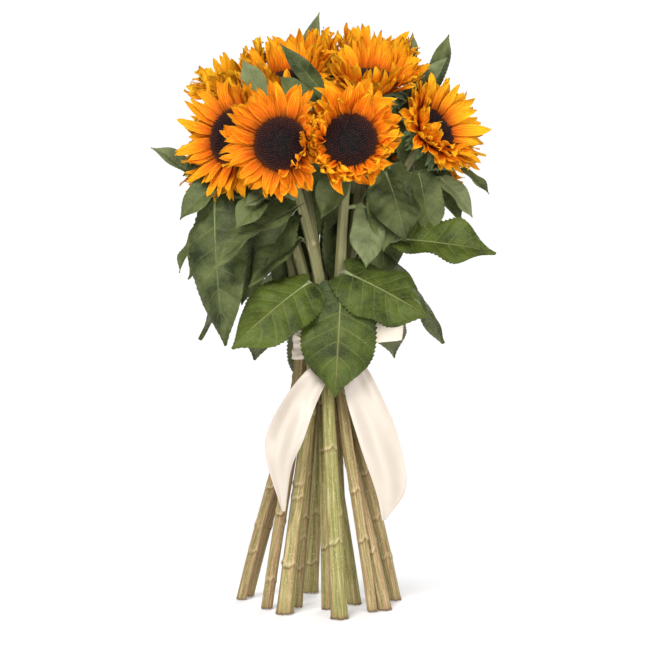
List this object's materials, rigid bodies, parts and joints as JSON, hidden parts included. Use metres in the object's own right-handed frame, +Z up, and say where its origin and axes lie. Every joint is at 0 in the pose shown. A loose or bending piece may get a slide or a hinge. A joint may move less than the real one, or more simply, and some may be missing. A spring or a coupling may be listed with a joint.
{
  "type": "bunch of sunflowers",
  "caption": "Hand-tied bunch of cut sunflowers with broad leaves and a cream ribbon, standing on its splayed stems.",
  "frame": {"origin": "on the floor under the middle of the bunch's bounding box", "axes": "+Z up the bunch from the cut ends to the heads, -Y out of the front, where the bow is"},
  "size_m": [0.3432, 0.2744, 0.611],
  "materials": {
    "stem": "ridged green to tan stem",
    "petal": "silky orange to golden petal",
    "disc": "matt dark brown florets",
    "leaf": "veined matt green leaf",
    "ribbon": "cream satin"
  },
  "bodies": {
    "root": {"stem_01": "stem", "stem_02": "stem", "stem_03": "stem", "stem_04": "stem", "stem_05": "stem", "stem_06": "stem", "stem_07": "stem", "stem_08": "stem", "stem_09": "stem", "stem_10": "stem", "stem_11": "stem", "stem_12": "stem", "stem_13": "stem", "stem_14": "stem", "rays_01": "petal", "rays_02": "petal", "rays_03": "petal", "rays_04": "petal", "rays_05": "petal", "rays_06": "petal", "rays_07": "petal", "rays_08": "petal", "rays_09": "petal", "rays_10": "petal", "rays_11": "petal", "rays_12": "petal", "rays_13": "petal", "rays_14": "petal", "disc_01": "disc", "disc_02": "disc", "disc_03": "disc", "disc_04": "disc", "disc_05": "disc", "disc_06": "disc", "disc_07": "disc", "disc_08": "disc", "disc_09": "disc", "disc_10": "disc", "disc_11": "disc", "disc_12": "disc", "disc_13": "disc", "disc_14": "disc", "leaf_01": "leaf", "leaf_02": "leaf", "leaf_03": "leaf", "leaf_04": "leaf", "leaf_05": "leaf", "leaf_06": "leaf", "leaf_07": "leaf", "leaf_08": "leaf", "leaf_09": "leaf", "leaf_10": "leaf", "leaf_11": "leaf", "leaf_12": "leaf", "leaf_13": "leaf", "leaf_14": "leaf", "ribbon_band": "ribbon", "ribbon_bow": "ribbon", "ribbon_tail_left": "ribbon", "ribbon_tail_right": "ribbon"}
  },
  "joints": []
}
